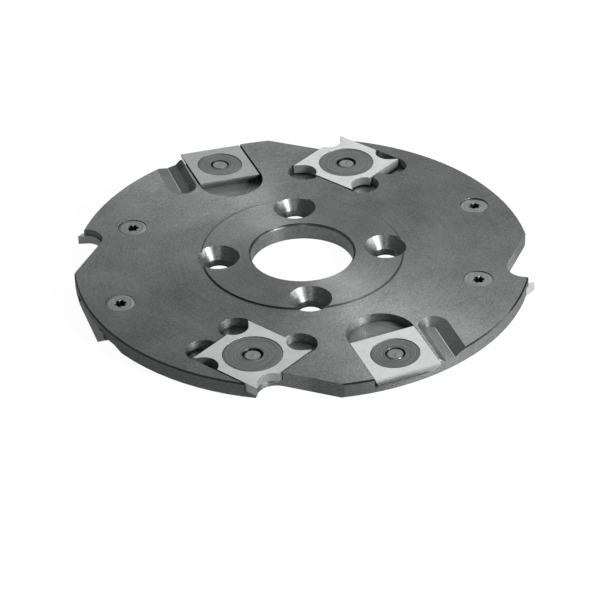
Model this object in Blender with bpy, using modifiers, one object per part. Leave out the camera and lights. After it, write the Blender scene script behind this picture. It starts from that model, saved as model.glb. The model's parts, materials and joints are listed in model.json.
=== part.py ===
# Grooving cutter of a biscuit joiner: a thin steel plate that carries eight reversible carbide knives.
# Four grooving knives with a pointed pinwheel outline clear the slot, and four square scoring knives
# cut its two edges. Half of the knives sit in the upper face and half in the lower one. Each is held
# by a countersunk nut in the knife and a screw from the plate's other face.
# Units are metres. The plate lies flat, +Z is its axis, and it cuts counterclockwise seen from above.

import math

import bmesh
import bpy
from mathutils import Matrix, Vector

MM = 0.001

# Whole cutter
cutting_diameter = 100.0 * MM
kerf = 4.0 * MM
bore_diameter = 22.0 * MM

# Plate, whose rim stays inside the cutting circle and whose faces stay inside the kerf
rim_relief = 1.25 * MM
side_relief = 0.3 * MM
rim_chamfer = 0.3 * MM
hub_diameter = 42.8 * MM
bore_chamfer = 0.45 * MM

# Countersunk holes that bolt the hub to the machine's flange
bolt_count = 4
bolt_circle_diameter = 36.0 * MM
bolt_hole_diameter = 5.5 * MM
bolt_countersink_diameter = 9.3 * MM
bolt_countersink_angle = math.radians(75.0)
first_bolt_angle = math.radians(4.5)

# Pinwheel grooving knives
groover_side = 16.9 * MM
groover_thickness = 2.0 * MM
groover_setback = 0.15 * MM
groover_skew = math.radians(20.5)
groover_notch_radius = 3.05 * MM
groover_front_edge = 1.85 * MM
groover_nut_diameter = 12.2 * MM
groover_nut_chamfer = 0.25 * MM
groover_top_angle = math.radians(74.3)
groover_under_angle = math.radians(162.5)

# Square scoring knives
scorer_side = 14.0 * MM
scorer_thickness = 2.0 * MM
scorer_land = 0.5 * MM
scorer_clearance_angle = math.radians(30.0)
scorer_skew = math.radians(-5.8)
scorer_tilt = math.radians(2.75)
scorer_nut_diameter = 10.0 * MM
scorer_nut_chamfer = 0.05 * MM
scorer_top_angle = math.radians(115.7)
scorer_under_angle = math.radians(24.7)
knives_of_a_kind_per_face = 2

# Pockets in the plate
seat_gap = 0.25 * MM
floor_gap = 0.1 * MM
corner_relief_radius = 3.8 * MM
corner_relief_inset = 2.3 * MM
corner_relief_offset = 2.5 * MM
corner_relief_extra_depth = 0.35 * MM
slot_overrun = 0.4 * MM

# Gullet through the rim in front of each grooving knife
gullet_radius = 4.0 * MM
gullet_inset = 1.45 * MM
gullet_undercut = 0.2 * MM
gullet_flank_angle = math.radians(64.6)

# Shallow chip groove in front of each scoring knife, whose floor lies off centre towards the knife
chip_groove_width = 6.4 * MM
chip_groove_depth = 1.05 * MM
chip_groove_floor_width = 2.2 * MM
chip_groove_floor_offset = 0.65 * MM
chip_groove_land = 0.9 * MM
chip_groove_inset = 0.8 * MM
chip_groove_turn = math.radians(-2.0)

# Clamp nuts and screws
nut_recess = 0.1 * MM
nut_land = 0.25 * MM
nut_cone_depth = 1.3 * MM
thread_diameter = 3.8 * MM
thread_gap = 0.1 * MM
screw_head_diameter = 6.1 * MM
screw_head_land = 0.1 * MM
screw_head_recess = 0.1 * MM
screw_end_recess = 0.05 * MM
screw_end_chamfer = 0.25 * MM
drive_diameter = 2.5 * MM
drive_lobe_depth = 0.3 * MM
drive_depth = 1.1 * MM
drive_lobes = 6
piece_gap = 0.08 * MM

# Metals: base colour and roughness
plate_finish = ((0.17, 0.17, 0.175), 0.42)
carbide_finish = ((0.60, 0.61, 0.62), 0.33)
nut_finish = ((0.22, 0.22, 0.22), 0.40)
screw_finish = ((0.42, 0.42, 0.43), 0.38)

# Number of facets round a turned shape or along an arc
plate_facets = 96
small_facets = 28
arc_facets = 10
drive_facets_per_lobe = 4

# How far a cutter reaches past the surface it cuts
overcut = 3.0 * MM

# Points closer than this are one point, and edges steeper than this stay sharp
weld_distance = 0.0005 * MM
sharp_angle = math.radians(30.0)

# Sizes that follow from the ones above
cutting_radius = cutting_diameter / 2
plate_radius = cutting_radius - rim_relief
plate_half = kerf / 2 - side_relief
groover_half_diagonal = groover_side / math.sqrt(2)
scorer_half = scorer_side / 2
groover_face_height = kerf / 2 - groover_setback
scorer_face_height = kerf / 2 - scorer_half * math.sin(scorer_tilt)
screw_length = scorer_face_height + plate_half - screw_head_recess - nut_recess - screw_end_recess


def remove_scene_objects():
    for obj in list(bpy.data.objects):
        bpy.data.objects.remove(obj, do_unlink=True)


def new_collection(name):
    collection = bpy.data.collections.new(name)
    bpy.context.scene.collection.children.link(collection)
    return collection


def metal(name, finish):
    colour, roughness = finish
    material = bpy.data.materials.new(name)
    material.use_nodes = True
    shader = material.node_tree.nodes["Principled BSDF"]
    shader.inputs["Base Color"].default_value = (*colour, 1.0)
    shader.inputs["Metallic"].default_value = 1.0
    shader.inputs["Roughness"].default_value = roughness
    return material


def seat_radius(skew, along, across):
    """Radius of a knife's centre that puts its cutting corner on the cutting circle.

    The corner lies at (along, across) in the knife's own frame, which is turned by skew
    from the line between the plate's centre and the knife's centre.
    """
    radial = along * math.cos(skew) - across * math.sin(skew)
    sideways = along * math.sin(skew) + across * math.cos(skew)
    return math.sqrt(cutting_radius ** 2 - sideways ** 2) - radial


groover_radius = seat_radius(groover_skew, groover_half_diagonal, 0.0)
scorer_radius = seat_radius(scorer_skew, scorer_half, scorer_half * math.cos(scorer_tilt))


def arc(centre, radius, start, end, facets=arc_facets):
    """Points of an arc from the angle start to the angle end, both in radians."""
    points = []
    for step in range(facets + 1):
        angle = start + (end - start) * step / facets
        points.append((centre[0] + radius * math.cos(angle), centre[1] + radius * math.sin(angle)))
    return points


def link(name, mesh, collection):
    obj = bpy.data.objects.new(name, mesh)
    collection.objects.link(obj)
    return obj


def bake(obj):
    """Turn a curve or a modified object into a plain welded mesh and remove the object."""
    bpy.context.view_layer.update()
    evaluated = obj.evaluated_get(bpy.context.evaluated_depsgraph_get())
    mesh = bpy.data.meshes.new_from_object(evaluated)
    mesh.transform(obj.matrix_world)
    mesh.name = obj.name
    bpy.data.objects.remove(obj, do_unlink=True)
    shape = bmesh.new()
    shape.from_mesh(mesh)
    bmesh.ops.remove_doubles(shape, verts=shape.verts, dist=weld_distance)
    bmesh.ops.recalc_face_normals(shape, faces=shape.faces)
    shape.to_mesh(mesh)
    shape.free()
    mesh.shade_smooth()
    mesh.set_sharp_from_angle(angle=sharp_angle)
    return mesh


def extruded(name, outline, bottom, top):
    """Mesh of a closed flat outline, filled and drawn out from bottom to top along Z."""
    curve = bpy.data.curves.new(name, "CURVE")
    curve.dimensions = "2D"
    curve.fill_mode = "BOTH"
    curve.extrude = (top - bottom) / 2
    spline = curve.splines.new("POLY")
    spline.points.add(len(outline) - 1)
    for point, (x, y) in zip(spline.points, outline):
        point.co = (x, y, 0.0, 1.0)
    spline.use_cyclic_u = True
    obj = link(name, curve, bpy.context.scene.collection)
    obj.location.z = (top + bottom) / 2
    return bake(obj)


def tapered(name, lower, upper, bottom, top):
    """Mesh between two outlines with as many points each, one at the bottom and one at the top."""
    count = len(lower)
    points = [(x, y, bottom) for x, y in lower] + [(x, y, top) for x, y in upper]
    faces = [tuple(range(count)), tuple(range(count, 2 * count))]
    for start in range(count):
        end = (start + 1) % count
        faces.append((start, end, count + end, count + start))
    mesh = bpy.data.meshes.new(name)
    mesh.from_pydata(points, [], faces)
    return bake(link(name, mesh, bpy.context.scene.collection))


def turned(name, profile, facets):
    """Mesh of a profile of (radius, height) points turned about Z.

    The profile runs down the outer side. One that starts and ends on the axis stays open there,
    and any other is closed into a ring.
    """
    last = len(profile) - 1
    edges = [(i, i + 1) for i in range(last)]
    if profile[0][0] > 0.0:
        edges.append((last, 0))
    mesh = bpy.data.meshes.new(name)
    mesh.from_pydata([(radius, 0.0, height) for radius, height in profile], edges, [])
    obj = link(name, mesh, bpy.context.scene.collection)
    screw = obj.modifiers.new("Turn", "SCREW")
    screw.axis = "Z"
    screw.steps = facets
    screw.render_steps = facets
    screw.use_merge_vertices = True
    screw.merge_threshold = weld_distance
    return bake(obj)


def cylinder(name, radius, bottom, top, centre=(0.0, 0.0)):
    mesh = bpy.data.meshes.new(name)
    shape = bmesh.new()
    middle = Matrix.Translation((centre[0], centre[1], (top + bottom) / 2))
    bmesh.ops.create_cone(
        shape,
        cap_ends=True,
        segments=small_facets,
        radius1=radius,
        radius2=radius,
        depth=top - bottom,
        matrix=middle,
    )
    shape.to_mesh(mesh)
    shape.free()
    return mesh


def cut(target, cutter):
    modifier = target.modifiers.new(cutter.name, "BOOLEAN")
    modifier.operation = "DIFFERENCE"
    modifier.solver = "EXACT"
    modifier.object = cutter


def cut_mesh(mesh, cutter_mesh):
    """Mesh with the shape of another taken out of it, both in the same frame."""
    scene_collection = bpy.context.scene.collection
    blank = link(mesh.name, mesh, scene_collection)
    cutter = link("cutter", cutter_mesh, scene_collection)
    cut(blank, cutter)
    result = bake(blank)
    bpy.data.objects.remove(cutter, do_unlink=True)
    return result


def knife_frame(angle, radius, skew, height, tilt=0.0):
    """Frame of a knife in the upper face: origin on its face, X outwards, Y the way it travels."""
    return (
        Matrix.Rotation(angle, 4, "Z")
        @ Matrix.Translation((radius, 0.0, 0.0))
        @ Matrix.Rotation(skew, 4, "Z")
        @ Matrix.Translation((0.0, 0.0, height))
        @ Matrix.Rotation(tilt, 4, "X")
    )


MIRROR_Z = Matrix.Diagonal((1.0, 1.0, -1.0, 1.0))
LIFT = Matrix.Translation((0.0, 0.0, kerf / 2))


class Face:
    """One face of the plate. Pieces made for the upper face are mirrored for the lower one."""

    def __init__(self, name):
        self.name = name
        self.mirrored = name == "under"
        self.meshes = {}

    def mesh(self, original):
        if not self.mirrored:
            return original
        if original.name not in self.meshes:
            copy = original.copy()
            copy.transform(MIRROR_Z)
            copy.flip_normals()
            self.meshes[original.name] = copy
        return self.meshes[original.name]

    def place(self, name, original, frame, collection):
        obj = link(name, self.mesh(original), collection)
        if self.mirrored:
            frame = MIRROR_Z @ frame @ MIRROR_Z
        obj.matrix_world = LIFT @ frame
        return obj


def plate_profile():
    """Half section of the plate: raised hub on both faces, chamfered rim and chamfered bore."""
    bore = bore_diameter / 2
    hub = hub_diameter / 2
    face = kerf / 2
    return [
        (hub, plate_half),
        (plate_radius - rim_chamfer, plate_half),
        (plate_radius, plate_half - rim_chamfer),
        (plate_radius, rim_chamfer - plate_half),
        (plate_radius - rim_chamfer, -plate_half),
        (hub, -plate_half),
        (hub, -face),
        (bore + bore_chamfer, -face),
        (bore, bore_chamfer - face),
        (bore, face - bore_chamfer),
        (bore + bore_chamfer, face),
        (hub, face),
    ]


def bolt_hole_cutter():
    """Through hole with a countersink in the upper hub face."""
    hole = bolt_hole_diameter / 2
    sink = bolt_countersink_diameter / 2
    spread = math.tan(bolt_countersink_angle / 2)
    face = kerf / 2
    profile = [
        (0.0, face + overcut),
        (sink + overcut * spread, face + overcut),
        (hole, face - (sink - hole) / spread),
        (hole, -face - overcut),
        (0.0, -face - overcut),
    ]
    return turned("bolt_hole", profile, small_facets)


def groover_outline():
    """Pinwheel outline: a square whose four corners are each undercut by a round notch in front.

    A corner points along X. Its front edge lies on the diagonal, where the notch starts, and
    the notch's arc comes out again through the square's side.
    """
    radius = groover_notch_radius
    centre = (groover_half_diagonal - groover_front_edge, radius)
    outside = (radius - groover_front_edge) / math.sqrt(2)
    end_angle = math.radians(135.0) + math.asin(outside / radius)
    outline = []
    for corner in range(4):
        turn = Matrix.Rotation(corner * math.pi / 2, 2)
        points = [(groover_half_diagonal, 0.0)]
        points += arc(centre, radius, math.radians(270.0), end_angle)
        outline += [tuple(turn @ Vector(point)) for point in points]
    return outline


def nut_cone(nut_diameter, gap):
    """Cone of a clamp nut from its land down to its shank, grown by gap for the hole it sits in."""
    head = nut_diameter / 2 + gap
    land = -nut_recess - nut_land
    return [(head, land), (head - nut_cone_depth, land - nut_cone_depth)]


def clamp_nut(name, nut_diameter, chamfer, thickness):
    bore = thread_diameter / 2 + thread_gap
    bottom = floor_gap - thickness
    cone = nut_cone(nut_diameter, 0.0)
    profile = [(nut_diameter / 2, -nut_recess)]
    profile += cone
    profile += [
        (cone[1][0], bottom),
        (bore, bottom),
        (bore, -nut_recess - chamfer),
        (bore + chamfer, -nut_recess),
    ]
    return turned(name, profile, small_facets)


def nut_hole(nut_diameter, thickness):
    """Countersunk hole in a knife that takes its clamp nut."""
    cone = nut_cone(nut_diameter, piece_gap)
    profile = [(0.0, overcut), (cone[0][0], overcut)]
    profile += cone
    profile += [(cone[1][0], -thickness - overcut), (0.0, -thickness - overcut)]
    return turned("nut_hole", profile, small_facets)


def grooving_knife():
    plate = extruded("groover", groover_outline(), -groover_thickness, 0.0)
    return cut_mesh(plate, nut_hole(groover_nut_diameter, groover_thickness))


def scoring_knife():
    """Square knife: four corners turned round Z, with flanks that slope inwards below a land."""
    corner = scorer_half * math.sqrt(2)
    slope = (scorer_thickness - scorer_land) * math.tan(scorer_clearance_angle)
    profile = [
        (0.0, 0.0),
        (corner, 0.0),
        (corner, -scorer_land),
        (corner - slope * math.sqrt(2), -scorer_thickness),
        (0.0, -scorer_thickness),
    ]
    plate = turned("scorer", profile, 4)
    plate.transform(Matrix.Rotation(math.pi / 4, 4, "Z"))
    return cut_mesh(plate, nut_hole(scorer_nut_diameter, scorer_thickness))


def screw_cone(gap):
    """Head cone of a clamp screw from its land down to its shank, grown by gap for its hole."""
    head = screw_head_diameter / 2 + gap
    shank = thread_diameter / 2 + gap
    return [(head, -screw_head_land), (shank, shank - head - screw_head_land)]


def drive_outline():
    """Six-lobed drive recess."""
    middle = (drive_diameter - drive_lobe_depth) / 2
    outline = []
    count = drive_facets_per_lobe * drive_lobes
    for step in range(count):
        angle = 2 * math.pi * step / count
        radius = middle + drive_lobe_depth / 2 * math.cos(drive_lobes * angle)
        outline.append((radius * math.cos(angle), radius * math.sin(angle)))
    return outline


def clamp_screw():
    """Screw that stands on its end: head face at Z = 0, shank downwards."""
    shank = thread_diameter / 2
    profile = [(0.0, 0.0), (screw_head_diameter / 2, 0.0)]
    profile += screw_cone(0.0)
    profile += [
        (shank, screw_end_chamfer - screw_length),
        (shank - screw_end_chamfer, -screw_length),
        (0.0, -screw_length),
    ]
    blank = turned("clamp_screw", profile, small_facets)
    recess = extruded("drive", drive_outline(), -drive_depth, overcut)
    return cut_mesh(blank, recess)


def screw_hole():
    """Countersunk hole in the plate for a clamp screw, in the screw's own frame."""
    cone = screw_cone(piece_gap)
    profile = [(0.0, overcut), (cone[0][0], overcut)]
    profile += cone
    profile += [(cone[1][0], -kerf), (0.0, -kerf)]
    return turned("screw_hole", profile, small_facets)


def screw_frame(face_height):
    """Frame of a clamp screw in its knife's frame: head at the plate's other face, shank up."""
    depth = face_height + plate_half - screw_head_recess
    return Matrix.Translation((0.0, 0.0, -depth)) @ Matrix.Rotation(math.pi, 4, "X")


def groover_pocket():
    """Square pocket for a pinwheel knife, open at the corner that reaches past the rim."""
    tip = groover_half_diagonal + seat_gap * math.sqrt(2)
    outline = [(tip, 0.0), (0.0, tip), (-tip, 0.0), (0.0, -tip)]
    return extruded("groover_pocket", outline, -groover_thickness - floor_gap, overcut)


def corner_reliefs():
    """Round reliefs that keep the three inner cutting corners off the plate."""
    along = groover_half_diagonal - corner_relief_inset
    bottom = -groover_thickness - floor_gap - corner_relief_extra_depth
    centres = [
        (-corner_relief_offset, along),
        (-along, -corner_relief_offset),
        (-corner_relief_offset, -along),
    ]
    return [cylinder("corner_relief", corner_relief_radius, bottom, overcut, c) for c in centres]


def rim_gullet():
    """Cut through the rim in front of a grooving knife: round by the tip, then a straight flank."""
    centre = (groover_half_diagonal - gullet_inset, gullet_radius - gullet_undercut)
    reach = 2 * groover_half_diagonal
    round_part = arc(centre, gullet_radius, gullet_flank_angle + math.pi / 2, math.radians(270.0))
    start = round_part[0]
    end = round_part[-1]
    flank_end = (
        start[0] + reach * math.cos(gullet_flank_angle),
        start[1] + reach * math.sin(gullet_flank_angle),
    )
    outline = [flank_end] + round_part + [(end[0] + reach, end[1])]
    return extruded("rim_gullet", outline, -kerf - overcut, kerf + overcut)


def scorer_pocket():
    """Slot that the square knife lies in, with a round inner end, open at the rim."""
    half = scorer_half + seat_gap
    inner = (-scorer_half - slot_overrun, 0.0)
    reach = scorer_side
    outline = [(reach, -half), (reach, half)]
    outline += arc(inner, half, math.radians(90.0), math.radians(270.0), 2 * arc_facets)
    return extruded("scorer_pocket", outline, -scorer_thickness - floor_gap, overcut)


def chip_groove():
    """Groove with sloping sides and a round end, lying along X with its end centred on the origin.

    The outline at each height carries on the slope between the floor and the plate's face.
    """
    half = chip_groove_width / 2
    floor_half = chip_groove_floor_width / 2
    reach = scorer_side + chip_groove_width

    def outline(height):
        share = 1 + height / chip_groove_depth
        radius = floor_half + (half - floor_half) * share
        middle = chip_groove_floor_offset * (share - 1)
        points = [(reach, middle - radius), (reach, middle + radius)]
        return points + arc((0.0, middle), radius, math.radians(90.0), math.radians(270.0), 2 * arc_facets)

    lower = outline(-chip_groove_depth)
    upper = outline(overcut)
    return tapered("chip_groove", lower, upper, -chip_groove_depth, overcut)


def chip_groove_frame(angle):
    """Frame of a chip groove on the plate's upper face, in front of the scoring knife at angle."""
    seat = knife_frame(angle, scorer_radius, scorer_skew, plate_half)
    end_centre = (
        chip_groove_inset - scorer_half,
        scorer_half + chip_groove_land + chip_groove_width / 2,
        0.0,
    )
    return seat @ Matrix.Translation(end_centre) @ Matrix.Rotation(chip_groove_turn, 4, "Z")


def build():
    remove_scene_objects()
    parts = new_collection("biscuit_joiner_blade")
    cutters = new_collection("biscuit_joiner_blade_cutters")

    steel = metal("plate_steel", plate_finish)
    carbide = metal("carbide", carbide_finish)
    nut_steel = metal("nut_steel", nut_finish)
    screw_steel = metal("screw_steel", screw_finish)

    plate_mesh = turned("plate", plate_profile(), plate_facets)
    plate = link("plate", plate_mesh, parts)
    plate.location.z = kerf / 2
    plate.data.materials.append(steel)

    def add_cutter(name, mesh, frame, face):
        cutter = face.place(name, mesh, frame, cutters)
        cutter.hide_render = True
        cutter.display_type = "WIRE"
        cut(plate, cutter)

    groover = grooving_knife()
    scorer = scoring_knife()
    groover_nut = clamp_nut(
        "groover_nut", groover_nut_diameter, groover_nut_chamfer, groover_thickness
    )
    scorer_nut = clamp_nut("scorer_nut", scorer_nut_diameter, scorer_nut_chamfer, scorer_thickness)
    screw = clamp_screw()
    for mesh, material in (
        (groover, carbide),
        (scorer, carbide),
        (groover_nut, nut_steel),
        (scorer_nut, nut_steel),
        (screw, screw_steel),
    ):
        mesh.materials.clear()
        mesh.materials.append(material)

    hole = screw_hole()
    pocket = groover_pocket()
    reliefs = corner_reliefs()
    gullet = rim_gullet()
    slot = scorer_pocket()
    groove = chip_groove()

    top = Face("top")
    under = Face("under")
    for face, groover_angle, scorer_angle in (
        (top, groover_top_angle, scorer_top_angle),
        (under, groover_under_angle, scorer_under_angle),
    ):
        for number in range(1, knives_of_a_kind_per_face + 1):
            turn = 2 * math.pi * (number - 1) / knives_of_a_kind_per_face
            tag = f"{face.name}_{number}"

            seat = knife_frame(
                groover_angle + turn, groover_radius, groover_skew, groover_face_height
            )
            bolt = seat @ screw_frame(groover_face_height)
            face.place(f"groover_{tag}", groover, seat, parts)
            face.place(f"groover_nut_{tag}", groover_nut, seat, parts)
            face.place(f"groover_screw_{tag}", screw, bolt, parts)
            add_cutter(f"groover_pocket_{tag}", pocket, seat, face)
            for relief_number, relief in enumerate(reliefs, 1):
                add_cutter(f"corner_relief_{tag}_{relief_number}", relief, seat, face)
            add_cutter(f"rim_gullet_{tag}", gullet, seat, face)
            add_cutter(f"groover_screw_hole_{tag}", hole, bolt, face)

            seat = knife_frame(
                scorer_angle + turn, scorer_radius, scorer_skew, scorer_face_height, scorer_tilt
            )
            bolt = seat @ screw_frame(scorer_face_height)
            face.place(f"scorer_{tag}", scorer, seat, parts)
            face.place(f"scorer_nut_{tag}", scorer_nut, seat, parts)
            face.place(f"scorer_screw_{tag}", screw, bolt, parts)
            add_cutter(f"scorer_pocket_{tag}", slot, seat, face)
            add_cutter(f"scorer_screw_hole_{tag}", hole, bolt, face)
            add_cutter(f"chip_groove_{tag}", groove, chip_groove_frame(scorer_angle + turn), face)

    bolt_hole = bolt_hole_cutter()
    for number in range(bolt_count):
        angle = first_bolt_angle + 2 * math.pi * number / bolt_count
        spot = Matrix.Rotation(angle, 4, "Z") @ Matrix.Translation((bolt_circle_diameter / 2, 0.0, 0.0))
        add_cutter(f"bolt_hole_{number + 1}", bolt_hole, spot, top)

    link("plate", bake(plate), parts)


build()
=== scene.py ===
import json
import math

import bmesh
import bpy
from mathutils import Matrix, Vector

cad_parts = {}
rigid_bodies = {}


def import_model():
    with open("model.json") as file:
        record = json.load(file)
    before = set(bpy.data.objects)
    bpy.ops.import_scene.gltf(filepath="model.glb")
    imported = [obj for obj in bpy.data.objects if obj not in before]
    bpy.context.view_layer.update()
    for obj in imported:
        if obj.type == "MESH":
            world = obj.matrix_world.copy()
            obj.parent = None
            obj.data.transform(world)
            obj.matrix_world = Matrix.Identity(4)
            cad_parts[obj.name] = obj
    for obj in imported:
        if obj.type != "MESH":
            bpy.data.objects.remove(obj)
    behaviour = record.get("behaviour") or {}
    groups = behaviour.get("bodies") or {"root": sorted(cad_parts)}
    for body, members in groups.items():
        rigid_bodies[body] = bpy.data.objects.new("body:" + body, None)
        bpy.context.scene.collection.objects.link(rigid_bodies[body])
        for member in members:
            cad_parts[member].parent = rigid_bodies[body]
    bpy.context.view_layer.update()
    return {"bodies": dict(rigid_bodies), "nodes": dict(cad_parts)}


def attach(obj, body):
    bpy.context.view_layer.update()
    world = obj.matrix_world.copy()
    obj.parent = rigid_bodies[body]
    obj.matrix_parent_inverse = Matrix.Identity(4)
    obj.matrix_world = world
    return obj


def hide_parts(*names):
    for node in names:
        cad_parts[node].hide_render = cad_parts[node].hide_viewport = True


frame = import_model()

MM = 0.001

# Photograph's camera, fitted to the rim, the bore and the knife tips
IMAGE_SIDE = 600
SENSOR = 36.0
FOCAL_PIXELS = 2393.22
CAMERA_DISTANCE = 503.41 * MM
CAMERA_ELEVATION = math.radians(34.008)
CAMERA_ROLL = math.radians(-1.269)
CAMERA_TARGET = Vector((-0.69 * MM, -12.567 * MM, 0.0))
CAMERA_CLIP = (0.01, 20.0)

# Lamps: place in millimetres, sides in metres and power in watts. They were placed by trial.
LAMPS = {
    "key": ((263.0, -177.0, 148.0), (0.09, 0.09), 2.1),
    "side": ((345.0, -20.0, 60.0), (0.22, 0.08), 0.85),
    "panel": ((75.0, 350.0, 245.0), (0.34, 0.30), 0.31),
    "front": ((-20.0, -330.0, 255.0), (0.10, 0.10), 0.2),
}
# Direction of the studio's brightest part, the cosines of the angle from it between which the
# light rises, and its strength away from that part and in it
SKY_DIRECTION = Vector((0.05, 0.50, 0.86)).normalized()
SKY_RISE = (0.70, 1.0)
SKY_STRENGTH = (0.15, 0.65)
# Floor: half its side, its height, its grey under real light, its glow and how much of that shows.
# Metal sees less of it, as a painted pool of light that is brighter at its right end than at its
# left one.
FLOOR_HALF = 2.5
FLOOR_HEIGHT = -0.05 * MM
FLOOR_GREY = (0.35, 0.35, 0.35, 1.0)
FLOOR_GLOW = 1.2
FLOOR_SHARE = 0.8
POOL_ENDS = (-10.0 * MM, 120.0 * MM)
POOL_SHARES = (0.33, 0.55)

# Sizes of the plate, the clamp nuts and the screws, as in the model's source
KERF = 4.0 * MM
CUTTING_RADIUS = 50.0 * MM
PLATE_HALF = 1.7 * MM
HUB_RADIUS = 21.4 * MM
NUT_RECESS = 0.1 * MM
NUT_LAND = 0.25 * MM
NUT_CONE = 1.3 * MM
NUT_BOTTOM = -1.9 * MM
NUT_BORE = 2.0 * MM
THREAD_RADIUS = 1.9 * MM
HEAD_RADIUS = 3.05 * MM
HEAD_RECESS = 0.1 * MM
HEAD_LAND = 0.1 * MM
SCREW_LENGTH = 3.114 * MM
DRIVE_RADIUS = 1.1 * MM
DRIVE_LOBE = 0.15 * MM
DRIVE_DEPTH = 1.1 * MM
MIDDLE = Vector((0.0, 0.0, KERF / 2))

# Detail that only the scene has: rounded and turned rings on the nuts, and the screws' thread
NUT_EDGE = 0.06 * MM
NUT_RING_PITCH = 0.42 * MM
NUT_RING_HALF = 0.1 * MM
NUT_RING_DEPTH = 0.02 * MM
NUT_STEPS = 96
THREAD_PITCH = 0.5 * MM
THREAD_DEPTH = 0.16 * MM
THREAD_STEP = 0.06 * MM
THREAD_START = 0.1 * MM
THREAD_END = 0.25 * MM
THREAD_RUN_IN = 0.25
SCREW_STEPS = 72
# Chamfered mouth of the drive: height, and how much wider it is than the drive
DRIVE_MOUTH = ((-0.09 * MM, 0.0), (-0.02 * MM, 0.06 * MM), (0.0, 0.12 * MM))
HEAD_EDGE = 0.08 * MM
# Rings of a screw in millimetres, with heights from its head's face and from its end
HEAD_RINGS = ((1.9, 0.0), (1.96, -0.012), (2.02, 0.0))
END_RINGS = (
    (1.62, 0.02), (1.56, 0.0), (0.95, 0.0), (0.9, 0.015), (0.85, 0.0), (0.22, 0.0), (0.06, 0.14),
)

# Mesh finishing
WELD_DISTANCE = 0.0002 * MM
KNIFE_EDGE = 0.03 * MM
ROUNDED_FROM = math.radians(30.0)
SHARP_FROM = math.radians(18.0)
TURNED_SHARP_FROM = math.radians(40.0)

# Places for the plate's material, in degrees and millimetres, with heights from the plate's middle
SCORER_ANGLES = {"top": 115.7, "under": 24.7}
SCORER_PLACE = 41.9
GROOVE_ANGLES = {"top": 107.9, "under": 16.9}
# How far the outer corner of a chip groove's floor passes from the plate's axis
GROOVE_CORNER = 17.02
# Where the groove's straight part starts, its floor's width and height, the middle of the slope
# next to the knife, from the corner, and how level that slope is
GROOVE_START = 35.4
GROOVE_FLOOR = 2.2
GROOVE_LEVEL = 0.65
GROOVE_SLOPE_MIDDLE = GROOVE_FLOOR + 0.72
GROOVE_SLOPE = 0.81
# How steeply the bump rises across the floor and falls across the slope
GROOVE_FLOOR_RISE = 110.0
GROOVE_SLOPE_RISE = -100.0
# Radius of the painted shade line at the foot of the hub's step
HUB_SHADE_LINE = HUB_RADIUS / MM + 0.14
BOLT_RING = 16.5
BORE_END = (11.1, 11.2)
RIM_START = (45.0, 46.0)
FACE_START = (1.62, 1.68)
# How level the metal is where each kind of surface begins: 1 is level and 0 upright
UPRIGHT_END = (0.2, 0.4)
CHAMFER_START = (0.64, 0.69)
SLOPE_START = (0.74, 0.80)
FLOOR_START = (0.90, 0.97)

# Darkest and lightest grey of each finish on the plate
GROUND_GREYS = (0.115, 0.335)
MILLED_GREYS = (0.12, 0.28)
RIM_GREYS = (0.07, 0.22)
INNER_GREYS = (0.08, 0.35)
# Grey of the painted shade in corners, gaps and on the hub holes' walls
PAINTED_SHADE_GREY = 0.02

# Height in millimetres below which nuts and screws get no painted shade: a screw's end keeps its
# own grey
PAINTED_SHADE_END = -2.0

# Anisotropic Rotation that lays the highlights across the tool marks
QUARTER_TURN = 0.25

# Input A, input B and output of a Mix node, by the kind of value that it mixes
MIX_SOCKETS = {"FLOAT": (2, 3, 0), "VECTOR": (4, 5, 1), "RGBA": (6, 7, 2)}


def grey(value, tint=0.03):
    """Grey of a given lightness, cooled a little towards green."""
    return (value * (1.0 - tint), value, value * (1.0 - 0.2 * tint), 1.0)


def smoothing_group():
    """Geometry nodes that shade a mesh smooth except at edges sharper than SHARP_FROM."""
    group = bpy.data.node_groups.new("shade_by_angle", "GeometryNodeTree")
    for direction in ("INPUT", "OUTPUT"):
        group.interface.new_socket("Geometry", in_out=direction, socket_type="NodeSocketGeometry")
    nodes, links = group.nodes, group.links
    start = nodes.new("NodeGroupInput")
    end = nodes.new("NodeGroupOutput")
    angle = nodes.new("GeometryNodeInputMeshEdgeAngle")
    steep = nodes.new("FunctionNodeCompare")
    steep.data_type = "FLOAT"
    steep.operation = "GREATER_THAN"
    steep.inputs["B"].default_value = SHARP_FROM
    normals = nodes.new("GeometryNodeSetMeshNormal")
    normals.mode = "SHARPNESS"
    links.new(angle.outputs["Unsigned Angle"], steep.inputs["A"])
    links.new(start.outputs[0], normals.inputs["Mesh"])
    links.new(steep.outputs[0], normals.inputs["Edge Sharpness"])
    links.new(normals.outputs[0], end.inputs[0])
    return group


SMOOTHING = smoothing_group()


def add_modifiers(obj, bevel=0.0):
    """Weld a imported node, round its edges and shade it by the angle between its faces."""
    weld = obj.modifiers.new("Weld", "WELD")
    weld.merge_threshold = WELD_DISTANCE
    if bevel:
        edge = obj.modifiers.new("Edges", "BEVEL")
        edge.width = bevel
        edge.segments = 2
        edge.limit_method = "ANGLE"
        edge.angle_limit = ROUNDED_FROM
        edge.use_clamp_overlap = True
        edge.miter_outer = "MITER_ARC"
    smooth = obj.modifiers.new("Shading", "NODES")
    smooth.node_group = SMOOTHING
    if bevel:
        flat = obj.modifiers.new("Flat faces", "WEIGHTED_NORMAL")
        flat.mode = "FACE_AREA"
        flat.weight = 80
        flat.keep_sharp = True


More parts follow.
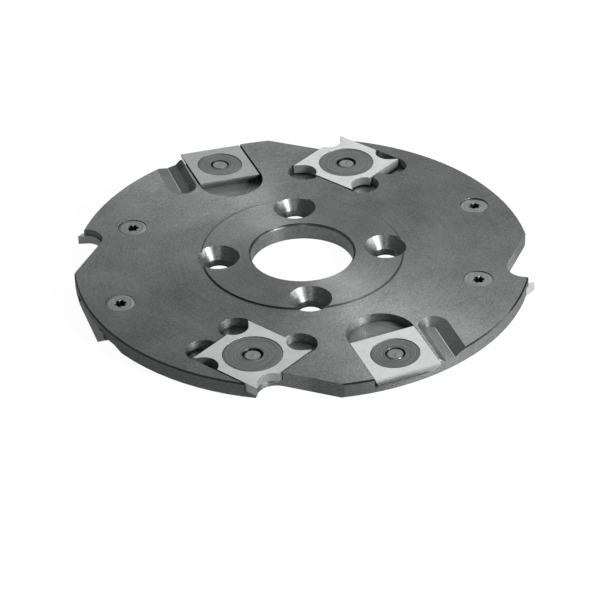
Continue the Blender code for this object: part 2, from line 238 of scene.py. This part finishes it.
class Tree:
    """Node tree that is built node by node."""

    def __init__(self, tree):
        self.tree = tree

    def node(self, kind, inputs=None, **settings):
        node = self.tree.nodes.new(kind)
        for key, value in settings.items():
            setattr(node, key, value)
        for key, value in (inputs or {}).items():
            self.feed(node.inputs[key], value)
        return node

    def feed(self, socket, value):
        """Link a socket to a node's output, or set its own value."""
        if isinstance(value, bpy.types.NodeSocket):
            self.tree.links.new(value, socket)
        else:
            socket.default_value = value

    def math(self, operation, a, b=0.0):
        return self.node("ShaderNodeMath", {0: a, 1: b}, operation=operation).outputs[0]

    def plus(self, a, b):
        return self.math("ADD", a, b)

    def minus(self, a, b):
        return self.math("SUBTRACT", a, b)

    def times(self, a, b):
        return self.math("MULTIPLY", a, b)

    def size(self, value):
        return self.math("ABSOLUTE", value)

    def vector(self, x, y, z=0.0):
        return self.node("ShaderNodeCombineXYZ", {"X": x, "Y": y, "Z": z}).outputs[0]

    def parts(self, vector):
        return self.node("ShaderNodeSeparateXYZ", {"Vector": vector}).outputs

    def math3(self, operation, a, b=None):
        inputs = {0: a} if b is None else {0: a, 1: b}
        node = self.node("ShaderNodeVectorMath", inputs, operation=operation)
        return node.outputs["Value" if operation in ("LENGTH", "DOT_PRODUCT") else "Vector"]

    def ramp(self, value, low, high, to_low=0.0, to_high=1.0):
        """Number that goes from to_low to to_high as the value goes from low to high."""
        inputs = {"Value": value, "From Min": low, "From Max": high}
        inputs.update({"To Min": to_low, "To Max": to_high})
        return self.node("ShaderNodeMapRange", inputs).outputs[0]

    def band(self, value, middle, inner, outer, top=1.0):
        """The top where the value is within inner of the middle, and 0 further off than outer."""
        return self.ramp(self.size(self.minus(value, middle)), inner, outer, top, 0.0)

    def mix(self, factor, a, b, kind="RGBA"):
        """Value that goes from a to b as the factor goes from 0 to 1."""
        first, second, result = MIX_SOCKETS[kind]
        inputs = {0: factor, first: a, second: b}
        return self.node("ShaderNodeMix", inputs, data_type=kind).outputs[result]

    def blend(self, factor, a, b):
        return self.mix(factor, a, b, "FLOAT")

    def greys(self, factor, dark, light, tint=0.03):
        return self.mix(factor, grey(dark, tint), grey(light, tint))


class Shade(Tree):
    """Metal material. Lengths in it are in millimetres from the object's origin."""

    def __init__(self, name, anisotropic, rotation=0.0):
        self.material = bpy.data.materials.new(name)
        self.material.use_nodes = True
        super().__init__(self.material.node_tree)
        self.shader = self.tree.nodes["Principled BSDF"]
        self.shader.inputs["Metallic"].default_value = 1.0
        self.shader.inputs["Anisotropic"].default_value = anisotropic
        self.shader.inputs["Anisotropic Rotation"].default_value = rotation
        coords = self.node("ShaderNodeTexCoord")
        self.place = self.math3("MULTIPLY", coords.outputs["Object"], (1.0 / MM,) * 3)
        self.x, self.y, self.z = self.parts(self.place)
        self.facing = coords.outputs["Normal"]

    def noise(self, vector, scale, detail=2.0, roughness=0.5):
        inputs = {"Vector": vector, "Scale": scale, "Detail": detail, "Roughness": roughness}
        return self.node("ShaderNodeTexNoise", inputs).outputs["Fac"]

    def spread(self, noise, low=0.0, high=1.0):
        """Noise, which is mostly between 0.3 and 0.7, spread from low to high."""
        return self.ramp(noise, 0.3, 0.7, low, high)

    def layers(self, *weighted):
        """Sum of values, each times its weight."""
        total, *others = [self.times(value, weight) for value, weight in weighted]
        for term in others:
            total = self.plus(total, term)
        return total

    def axis_distance(self):
        return self.math("SQRT", self.plus(self.times(self.x, self.x), self.times(self.y, self.y)))

    def levelness(self):
        """1 on level metal and 0 on upright walls."""
        return self.size(self.parts(self.facing)["Z"])

    def turned_rings(self, radius, pitch, sway, detail=2.0):
        """Rings that a lathe leaves, which change a little as they go round."""
        across = self.math("DIVIDE", radius, pitch)
        turn = self.times(self.math("ARCTAN2", self.y, self.x), sway)
        return self.noise(self.vector(across, turn), 1.0, detail)

    def edges(self, radius):
        """1 along sharp edges and 0 on flat metal."""
        bevel = self.node("ShaderNodeBevel", {"Radius": radius}, samples=6).outputs[0]
        flat = self.node("ShaderNodeNewGeometry").outputs["Normal"]
        return self.ramp(self.math3("DOT_PRODUCT", bevel, flat), 0.995, 0.90)

    def occlusion_shade(self, distance):
        """Painted shade from ambient occlusion: 0.6 deep in corners and gaps, and 0 on open metal.
        """
        cavity = self.node("ShaderNodeAmbientOcclusion", {"Distance": distance}, samples=8)
        return self.ramp(cavity.outputs["AO"], 0.35, 0.85, 0.6, 0.0)

    def finish(self, colour, roughness, height, distance, strength):
        """Connect the shader, with a bump as high as height times distance."""
        inputs = {"Height": height, "Distance": distance, "Strength": strength}
        self.feed(self.shader.inputs["Base Color"], colour)
        self.feed(self.shader.inputs["Roughness"], roughness)
        self.feed(self.shader.inputs["Normal"], self.node("ShaderNodeBump", inputs).outputs[0])
        return self.material


class PlateSteel(Shade):
    """Dark tool steel: turned faces, milled pocket floors, smoother walls, holes and rim."""

    def __init__(self):
        super().__init__("turned_tool_steel", anisotropic=0.65, rotation=QUARTER_TURN)
        self.radius = self.axis_distance()
        self.level = self.levelness()
        self.height = self.size(self.minus(self.z, KERF / 2 / MM))
        self.upper = self.math("GREATER_THAN", self.z, KERF / 2 / MM)
        self.floor = self.ramp(self.level, *FLOOR_START)
        self.face = self.times(self.ramp(self.height, *FACE_START), self.floor)
        self.rings = self.turned_rings(self.radius, 0.2, 1.5, 4.0)
        self.grain = self.noise(self.place, 4.2, 3.0, 0.65)
        self.walls = self.noise(self.math3("MULTIPLY", self.place, (1.6, 1.6, 6.0)), 1.0, 3.0)
        self.swirl = self.swirls()
        self.find_grooves()
        self.lay_tool_marks()

    def from_axis(self, angles):
        """Distances along and across a direction from the plate's axis, given for each face."""
        under, top = math.radians(angles["under"]), math.radians(angles["top"])
        angle = self.blend(self.upper, under, top)
        cosine = self.math("COSINE", angle)
        sine = self.math("SINE", angle)
        along = self.plus(self.times(self.x, cosine), self.times(self.y, sine))
        across = self.minus(self.times(self.y, cosine), self.times(self.x, sine))
        return along, across

    def swirls(self):
        """Rings that an end mill leaves on a pocket's floor, round the scoring knife's middle."""
        along, across = self.from_axis(SCORER_ANGLES)
        outward = self.minus(self.size(along), SCORER_PLACE)
        distance = self.math3("LENGTH", self.vector(outward, across))
        path = self.layers((distance, 3.2), (self.noise(self.place, 0.25, 1.0), 4.0))
        return self.noise(self.vector(path, 0.0), 1.0)

    def find_grooves(self):
        """Find the chip grooves' floors and their slopes next to the knives."""
        along, across = self.from_axis(GROOVE_ANGLES)
        same_side = self.math("GREATER_THAN", self.times(along, across), 0.0)
        flat = self.ramp(self.level, 0.985, 0.995)
        near_level = self.band(self.height, GROOVE_LEVEL, 0.15, 0.30)
        self.groove_along = self.size(along)
        self.to_corner = self.minus(GROOVE_CORNER, self.size(across))
        self.groove_floor = self.times(self.times(near_level, flat), same_side)
        self.groove_slope = self.band(self.level, GROOVE_SLOPE, 0.02, 0.04)
        self.groove = self.plus(self.groove_floor, self.groove_slope)

    def lay_tool_marks(self):
        """Lay tool marks round the plate's axis on level metal, and level on walls and cones."""
        up = (0.0, 0.0, 1.0)
        wall = self.math3("NORMALIZE", self.math3("CROSS_PRODUCT", up, self.facing))
        axis = self.math3("NORMALIZE", self.math3("CROSS_PRODUCT", up, self.place))
        self.feed(self.shader.inputs["Tangent"], self.mix(self.floor, wall, axis, "VECTOR"))

    def ground(self):
        """Ground and turned faces, with a painted shade line in the corner of the hub's step."""
        patches = self.noise(self.place, 0.11, 3.0)
        tone = self.layers((self.rings, 0.5), (self.grain, 2.4), (patches, 0.7))
        colour = self.greys(self.ramp(tone, 1.3, 2.3), *GROUND_GREYS)
        # Painted shade: a dark ring at the foot of the hub's step
        return self.mix(self.band(self.radius, HUB_SHADE_LINE, 0.12, 0.28, 0.7), colour, grey(0.03))

    def smooth(self):
        """Rim, holes and walls. The straight walls of the hub holes are painted nearly black as
        shade.
        """
        speckle = self.spread(self.layers((self.walls, 0.5), (self.grain, 0.5)))
        rim = self.greys(speckle, *RIM_GREYS, 0.05)
        inner = self.greys(speckle, *INNER_GREYS, 0.05)
        colour = self.mix(self.ramp(self.radius, *RIM_START, 1.0, 0.0), rim, inner)
        upright = self.ramp(self.level, *UPRIGHT_END, 1.0, 0.0)
        # Painted shade on the hub holes' straight walls
        hole_wall_shade = self.times(upright, self.band(self.radius, BOLT_RING, 3.5, 4.0, 0.6))
        return self.mix(hole_wall_shade, colour, grey(PAINTED_SHADE_GREY))

    def colour(self):
        milled = self.greys(self.spread(self.swirl), *MILLED_GREYS)
        colour = self.mix(self.face, self.mix(self.floor, self.smooth(), milled), self.ground())
        # Painted light and shade: the groove on the right is painted a little lighter, and the one
        # on the left darker, for how light falls on their slopes
        groove_painted_light = self.times(self.groove, self.ramp(self.x, 5.0, 15.0, 0.0, 0.08))
        groove_painted_shade = self.times(self.groove, self.ramp(self.x, -5.0, -15.0, 0.0, 0.4))
        colour = self.mix(groove_painted_shade, self.mix(groove_painted_light, colour, grey(0.5)), grey(0.03))
        # Painted shade from ambient occlusion in corners and gaps, weaker on floors and in the
        # grooves
        corner_shade = self.times(self.occlusion_shade(1.3 * MM), self.blend(self.floor, 1.35, 0.55))
        corner_shade = self.times(corner_shade, self.minus(1.0, self.times(self.groove, 0.6)))
        colour = self.mix(corner_shade, colour, grey(PAINTED_SHADE_GREY))
        wear = self.times(self.edges(0.07 * MM), self.times(self.face, 0.35))
        colour = self.mix(wear, colour, grey(0.40))
        # Painted highlight: a bright glint line along the outer corner of each groove's floor
        painted_glint_line = self.ramp(self.size(self.to_corner), 0.06, 0.16, 0.8, 0.0)
        return self.mix(self.times(painted_glint_line, self.groove_floor), colour, grey(0.85))

    def roughness(self):
        rough = self.spread(self.walls, 0.42, 0.54)
        chamfer = self.ramp(self.level, *CHAMFER_START)
        slope = self.ramp(self.level, *SLOPE_START)
        bore = self.ramp(self.radius, *BORE_END, 1.0, 0.0)
        for mask, value in ((chamfer, 0.20), (slope, 0.46), (bore, 0.34), (self.floor, 0.5)):
            rough = self.blend(mask, rough, value)
        return self.blend(self.face, rough, self.spread(self.grain, 0.54, 0.64))

    def relief(self):
        """Fine marks, and heights that tilt the shading of a groove's floor and of its slope."""
        relief = self.blend(self.floor, self.times(self.walls, 0.4), self.swirl)
        relief = self.blend(self.face, relief, self.rings)
        highest = GROOVE_FLOOR * GROOVE_FLOOR_RISE
        dish = self.ramp(self.to_corner, 0.0, GROOVE_FLOOR, 0.0, highest)
        rise = self.times(self.minus(self.to_corner, GROOVE_SLOPE_MIDDLE), GROOVE_SLOPE_RISE)
        straight = self.ramp(self.groove_along, GROOVE_START, GROOVE_START + 1.5)
        rise = self.times(rise, straight)
        relief = self.plus(relief, self.times(dish, self.groove_floor))
        return self.plus(relief, self.times(rise, self.groove_slope))


def plate_material():
    s = PlateSteel()
    return s.finish(s.colour(), s.roughness(), s.relief(), 0.004 * MM, 0.6)


def carbide_material(name, angle, tone):
    """Light grey carbide with fine parallel grinding marks and bright lapped edges."""
    s = Shade(name, anisotropic=0.3)
    turned = s.node("ShaderNodeVectorRotate", {"Vector": s.place, "Angle": -math.radians(angle)},
                    rotation_type="Z_AXIS").outputs[0]
    strokes = s.noise(s.math3("MULTIPLY", turned, (9.0, 1.2, 9.0)), 1.0, 3.0)
    cloud = s.noise(s.place, 0.35)
    grain = s.noise(s.place, 5.0, 2.0, 0.6)
    shade = s.spread(s.layers((strokes, 0.4), (cloud, 0.25), (grain, 0.35)))
    colour = s.greys(shade, tone * 0.8, tone * 1.2)
    colour = s.mix(s.times(s.edges(0.05 * MM), 0.45), colour, grey(0.8))
    level = s.ramp(s.levelness(), 0.4, 0.8)
    rough = s.blend(level, 0.55, s.spread(strokes, 0.26, 0.36))
    return s.finish(colour, rough, strokes, 0.003 * MM, 0.35)


def turned_material(name, dark, light, pitch, shade_start, tint=0.03):
    """Steel turned round its piece's Z axis. From the height where its face ends it is painted
    dark as shade, in the drive and on the sides.
    """
    s = Shade(name, anisotropic=0.45, rotation=QUARTER_TURN)
    tangent = s.node("ShaderNodeTangent", direction_type="RADIAL", axis="Z").outputs[0]
    s.feed(s.shader.inputs["Tangent"], tangent)
    rings = s.turned_rings(s.axis_distance(), pitch, 0.6)
    grain = s.noise(s.place, 6.0)
    colour = s.greys(s.spread(s.layers((rings, 0.6), (grain, 0.4))), dark, light, tint)
    colour = s.mix(s.times(s.edges(0.05 * MM), 0.4), colour, grey(0.5))
    # Painted shade below the face: in the screws' drives, and on the sides of heads and nuts
    under_face_shade = s.ramp(s.z, shade_start, shade_start - 0.05, 0.0, 0.85)
    under_face_shade = s.times(under_face_shade, s.math("GREATER_THAN", s.z, PAINTED_SHADE_END))
    colour = s.mix(under_face_shade, colour, grey(0.015))
    return s.finish(colour, s.spread(grain, 0.33, 0.43), rings, 0.01 * MM, 0.5)


def in_metres(rings, level=0.0):
    """Rings given in millimetres, with their heights counted from a level in metres."""
    return [(radius * MM, level + height * MM) for radius, height in rings]


def round_piece(name, rings, count, closed=True):
    """Lathe-like body from rings of (radius, height). A radius may be a function of the angle."""
    mesh = bpy.data.meshes.new(name)
    shape = bmesh.new()
    angles = [2 * math.pi * step / count for step in range(count)]
    loops = []
    for radius, height in rings:
        sizes = [radius(angle) if callable(radius) else radius for angle in angles]
        loops.append([
            shape.verts.new((size * math.cos(angle), size * math.sin(angle), height))
            for size, angle in zip(sizes, angles)
        ])
    pairs = list(zip(loops, loops[1:]))
    if closed:
        pairs.append((loops[-1], loops[0]))
    for a, b in pairs:
        for i in range(count):
            j = (i + 1) % count
            shape.faces.new((a[i], a[j], b[j], b[i]))
    if not closed:
        for loop in (loops[0], loops[-1]):
            middle = shape.verts.new(sum((v.co for v in loop), Vector()) / count)
            for i in range(count):
                shape.faces.new((loop[i], loop[(i + 1) % count], middle))
    bmesh.ops.recalc_face_normals(shape, faces=shape.faces)
    shape.to_mesh(mesh)
    shape.free()
    mesh.shade_smooth()
    mesh.set_sharp_from_angle(angle=TURNED_SHARP_FROM)
    return mesh


def nut_mesh(diameter, chamfer):
    """Clamp nut under its knife's face: turned rings, a rounded rim and a chamfered bore."""
    outer = diameter / 2
    top = -NUT_RECESS
    rings = [
        (outer - NUT_EDGE, top),
        (outer - NUT_EDGE * 0.3, top - NUT_EDGE * 0.3),
        (outer, top - NUT_EDGE),
        (outer, top - NUT_LAND),
        (outer - NUT_CONE, top - NUT_LAND - NUT_CONE),
        (outer - NUT_CONE, NUT_BOTTOM),
        (NUT_BORE, NUT_BOTTOM),
        (NUT_BORE, top - chamfer),
        (NUT_BORE + chamfer, top),
    ]
    radius = NUT_BORE + chamfer + NUT_RING_PITCH
    while radius < outer - 1.5 * NUT_RING_PITCH:
        rings += [
            (radius - NUT_RING_HALF, top),
            (radius, top - NUT_RING_DEPTH),
            (radius + NUT_RING_HALF, top),
        ]
        radius += NUT_RING_PITCH
    return round_piece("nut", rings, NUT_STEPS)


def screw_mesh():
    """Clamp screw with its head face at Z = 0: six-lobed drive, cone, thread and dimpled end."""

    def lobed(scale=1.0, wider=0.0):
        return lambda angle: (DRIVE_RADIUS + DRIVE_LOBE * math.cos(6 * angle)) * scale + wider

    def thread(z, fade):
        def radius(angle):
            phase = (z / THREAD_PITCH - angle / (2 * math.pi)) % 1.0
            return THREAD_RADIUS - THREAD_DEPTH * fade * abs(2 * phase - 1) ** 1.2

        return radius

    cone_end = HEAD_LAND + HEAD_RADIUS - THREAD_RADIUS
    rings = [
        (0.35 * MM, -DRIVE_DEPTH),
        (lobed(0.97), -DRIVE_DEPTH + 0.12 * MM),
        *((lobed(wider=wider), height) for height, wider in DRIVE_MOUTH),
        *in_metres(HEAD_RINGS),
        (HEAD_RADIUS - HEAD_EDGE, 0.0),
        (HEAD_RADIUS - HEAD_EDGE / 4, -HEAD_LAND * 0.3),
        (HEAD_RADIUS, -HEAD_LAND),
        (THREAD_RADIUS, -cone_end),
    ]
    start = cone_end + THREAD_START
    end = SCREW_LENGTH - THREAD_END
    steps = int((end - start) / THREAD_STEP)
    for step in range(steps + 1):
        z = start + (end - start) * step / steps
        rings.append((thread(z, min(1.0, step / steps / THREAD_RUN_IN)), -z))
    rings += in_metres(END_RINGS, -SCREW_LENGTH)
    return round_piece("screw", rings, SCREW_STEPS, closed=False)


def seat_radius(skew, along, across):
    """Distance from the axis of a seat whose point (along, across) lies on the cutting circle."""
    radial = along * math.cos(skew) - across * math.sin(skew)
    sideways = along * math.sin(skew) + across * math.cos(skew)
    return math.sqrt(CUTTING_RADIUS ** 2 - sideways ** 2) - radial


# Knife seats, as in the model's source
GROOVER_SKEW = math.radians(20.5)
GROOVER_DIAGONAL = 16.9 * MM / math.sqrt(2)
SCORER_SKEW = math.radians(-5.8)
SCORER_TILT = math.radians(2.75)
SCORER_HALF = 7.0 * MM
KINDS = {
    "groover": {
        "radius": seat_radius(GROOVER_SKEW, GROOVER_DIAGONAL, 0.0),
        "skew": GROOVER_SKEW,
        "tilt": 0.0,
        "height": KERF / 2 - 0.15 * MM,
        "angles": {"top": 74.3, "under": 162.5},
        "nut": (12.2 * MM, 0.25 * MM),
    },
    "scorer": {
        "radius": seat_radius(SCORER_SKEW, SCORER_HALF, SCORER_HALF * math.cos(SCORER_TILT)),
        "skew": SCORER_SKEW,
        "tilt": SCORER_TILT,
        "height": KERF / 2 - SCORER_HALF * math.sin(SCORER_TILT),
        "angles": SCORER_ANGLES,
        "nut": (10.0 * MM, 0.1 * MM),
    },
}
FLIP = Matrix.Diagonal((1.0, 1.0, -1.0, 1.0))
HALF_TURN = Matrix.Rotation(math.pi, 4, "X")

# Lightness of the ground carbide, with painted light and shade: some knives get darker or lighter
# copies of it for how light falls on them
KNIFE_TONE = 0.46
KNIFE_PAINTED_TONES = {
    "groover_top_1": 0.50,
    "groover_top_2": 0.40,
    "groover_under_1": 0.36,
    "groover_under_2": 0.50,
    "scorer_top_1": 0.28,
    "scorer_top_2": 0.50,
    "scorer_under_2": 0.32,
}


def seat_frame(kind, face, number):
    """Frame of a knife: origin on its face, Z out of the face, X away from the plate's axis."""
    facts = KINDS[kind]
    angle = math.radians(facts["angles"][face]) + math.pi * (number - 1)
    seat = (
        Matrix.Rotation(angle, 4, "Z")
        @ Matrix.Translation((facts["radius"], 0.0, 0.0))
        @ Matrix.Rotation(facts["skew"], 4, "Z")
        @ Matrix.Translation((0.0, 0.0, facts["height"]))
        @ Matrix.Rotation(facts["tilt"], 4, "X")
    )
    if face == "under":
        seat = FLIP @ seat @ FLIP @ HALF_TURN
    return Matrix.Translation(MIDDLE) @ seat


def stand_in(name, mesh, place, material, node):
    """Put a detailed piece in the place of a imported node."""
    piece = bpy.data.objects.new(name, mesh)
    bpy.context.scene.collection.objects.link(piece)
    piece.data.materials.clear()
    piece.data.materials.append(material)
    piece.matrix_world = place
    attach(piece, BODY)
    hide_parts(node)


BODY = next(iter(frame["bodies"]))
STEEL = plate_material()
NUT_STEEL = turned_material("turned_nut_steel", 0.06, 0.20, 0.33, -0.13)
SCREW_STEEL = turned_material("screw_steel", 0.13, 0.30, 0.3, -0.04, 0.09)

for name, obj in frame["nodes"].items():
    if name == "plate":
        obj.material_slots[0].material = STEEL
        add_modifiers(obj)
    elif "nut" not in name and "screw" not in name:
        kind, face, _ = name.split("_")
        strokes = KINDS[kind]["angles"][face] + math.degrees(KINDS[kind]["skew"])
        # Painted light and shade: a darker or lighter copy of the carbide for this knife
        tone = KNIFE_PAINTED_TONES.get(name, KNIFE_TONE)
        obj.material_slots[0].material = carbide_material(f"carbide_{name}", strokes, tone)
        add_modifiers(obj, KNIFE_EDGE)

screw = screw_mesh()
for kind, facts in KINDS.items():
    nut = nut_mesh(*facts["nut"])
    head_depth = facts["height"] + PLATE_HALF - HEAD_RECESS
    head = Matrix.Translation((0.0, 0.0, -head_depth)) @ HALF_TURN
    for face in ("top", "under"):
        for number in (1, 2):
            tag = f"{face}_{number}"
            seat = seat_frame(kind, face, number)
            stand_in(f"{kind}_clamp_nut_{tag}", nut, seat, NUT_STEEL,
                     f"{kind}_nut_{tag}")
            stand_in(f"{kind}_clamp_screw_{tag}", screw, seat @ head, SCREW_STEEL,
                     f"{kind}_screw_{tag}")


def floor_material():
    """Pale floor: white where nothing shades it, with a soft shadow under the plate."""
    material = bpy.data.materials.new("pale_floor")
    material.use_nodes = True
    material.node_tree.nodes.clear()
    t = Tree(material.node_tree)
    path = t.node("ShaderNodeLightPath").outputs
    x = t.parts(t.node("ShaderNodeTexCoord").outputs["Object"])["X"]
    # Painted pool of light: what metal reflects of the floor's glow grows towards the right
    glossy = t.times(path["Is Glossy Ray"], t.ramp(x, *POOL_ENDS, *POOL_SHARES))
    seen = t.math("MAXIMUM", path["Is Camera Ray"], glossy)
    seen = t.math("MAXIMUM", seen, path["Is Transmission Ray"])
    real = t.node("ShaderNodeBsdfDiffuse", {"Color": FLOOR_GREY}).outputs[0]
    white = t.node("ShaderNodeEmission", {"Strength": FLOOR_GLOW}).outputs[0]
    share = t.times(seen, FLOOR_SHARE)
    mixed = t.node("ShaderNodeMixShader", {0: share, 1: real, 2: white}).outputs[0]
    t.node("ShaderNodeOutputMaterial", {"Surface": mixed})
    return material


def add_floor():
    mesh = bpy.data.meshes.new("floor")
    shape = bmesh.new()
    bmesh.ops.create_grid(shape, x_segments=8, y_segments=8, size=FLOOR_HALF)
    shape.to_mesh(mesh)
    shape.free()
    floor = bpy.data.objects.new("floor", mesh)
    bpy.context.scene.collection.objects.link(floor)
    floor.location.z = FLOOR_HEIGHT
    mesh.materials.append(floor_material())


def add_world():
    """Studio light, brightest from above and behind, and plain white where the camera sees it."""
    world = bpy.data.worlds.new("studio")
    world.use_nodes = True
    bpy.context.scene.world = world
    t = Tree(world.node_tree)
    around = t.node("ShaderNodeTexCoord").outputs["Generated"]
    toward = t.math3("DOT_PRODUCT", around, SKY_DIRECTION)
    strength = t.ramp(toward, *SKY_RISE, *SKY_STRENGTH)
    seen = t.node("ShaderNodeLightPath").outputs["Is Camera Ray"]
    background = t.tree.nodes["Background"].inputs
    t.feed(background["Color"], (1.0, 1.0, 1.0, 1.0))
    t.feed(background["Strength"], t.blend(seen, strength, 1.0))


def add_lamp(name, place, sides, power):
    """Rectangular lamp that shines at the origin and that the camera doesn't see."""
    lamp = bpy.data.lights.new(name, "AREA")
    lamp.shape = "RECTANGLE"
    lamp.size, lamp.size_y = sides
    lamp.energy = power
    obj = bpy.data.objects.new(name, lamp)
    bpy.context.scene.collection.objects.link(obj)
    obj.location = Vector(place) * MM
    obj.rotation_euler = obj.location.to_track_quat("Z", "Y").to_euler()
    obj.visible_camera = False


def add_camera():
    tilt, roll = CAMERA_ELEVATION, CAMERA_ROLL
    back = Vector((0.0, -math.cos(tilt), math.sin(tilt)))
    right = Vector((1.0, 0.0, 0.0))
    up = back.cross(right)
    across = right * math.cos(roll) + up * math.sin(roll)
    upright = up * math.cos(roll) - right * math.sin(roll)
    data = bpy.data.cameras.new("camera")
    data.sensor_width = SENSOR
    data.lens = FOCAL_PIXELS * SENSOR / IMAGE_SIDE
    data.clip_start, data.clip_end = CAMERA_CLIP
    camera = bpy.data.objects.new("camera", data)
    bpy.context.scene.collection.objects.link(camera)
    axes = Matrix((across, upright, back)).transposed().to_4x4()
    camera.matrix_world = Matrix.Translation(CAMERA_TARGET + back * CAMERA_DISTANCE) @ axes
    bpy.context.scene.camera = camera


add_floor()
add_world()
for name, facts in LAMPS.items():
    add_lamp(name, *facts)
add_camera()
bpy.context.scene.view_settings.view_transform = "Standard"
